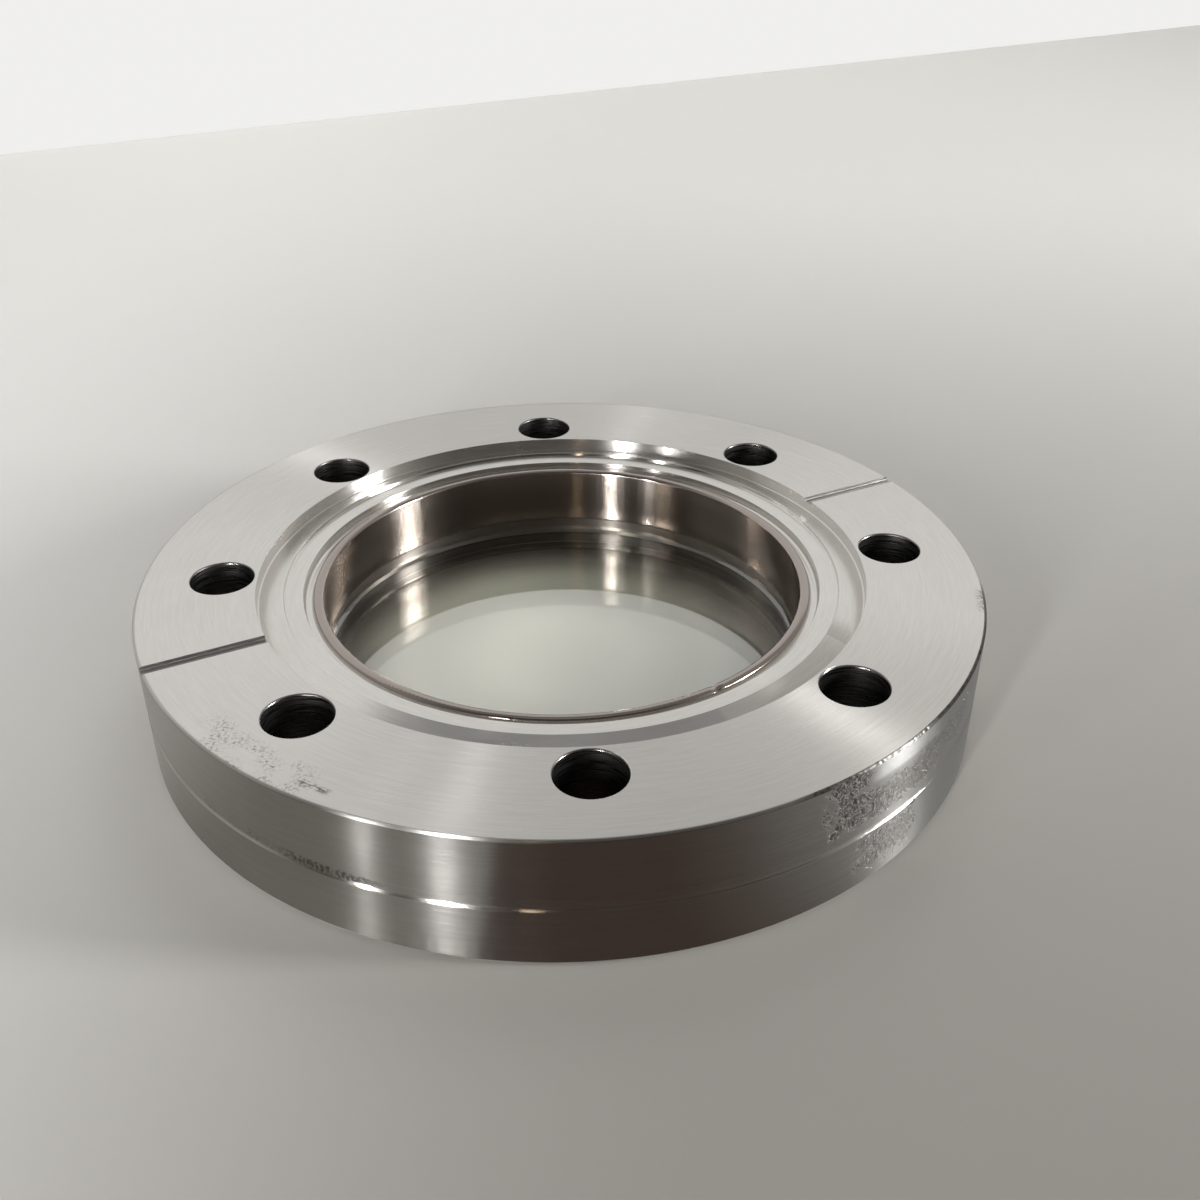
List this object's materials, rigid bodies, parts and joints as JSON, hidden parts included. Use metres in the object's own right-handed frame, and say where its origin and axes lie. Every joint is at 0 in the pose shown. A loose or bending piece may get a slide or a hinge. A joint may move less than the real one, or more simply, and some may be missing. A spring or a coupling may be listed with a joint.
{
  "type": "vacuum viewport",
  "caption": "Round knife-edge vacuum flange with a glass window fused into a thin sleeve, for looking into a vacuum chamber.",
  "frame": {"origin": "centre of the back face, which the viewport lies on", "axes": "+Z along the viewing axis, from the back face towards the knife-edge face; the two leak-check grooves lie along +X and -X, midway between bolt holes"},
  "size_m": [0.1134, 0.1134, 0.0175],
  "materials": {
    "flange_steel": "turned stainless steel, satin on the face, smooth on the rim",
    "weld_metal": "bright fused weld metal",
    "sleeve_metal": "polished nickel-iron alloy",
    "window_glass": "clear polished glass"
  },
  "bodies": {
    "root": {"flange": "flange_steel", "weld_bead": "weld_metal", "sleeve": "sleeve_metal", "window": "window_glass"}
  },
  "joints": []
}
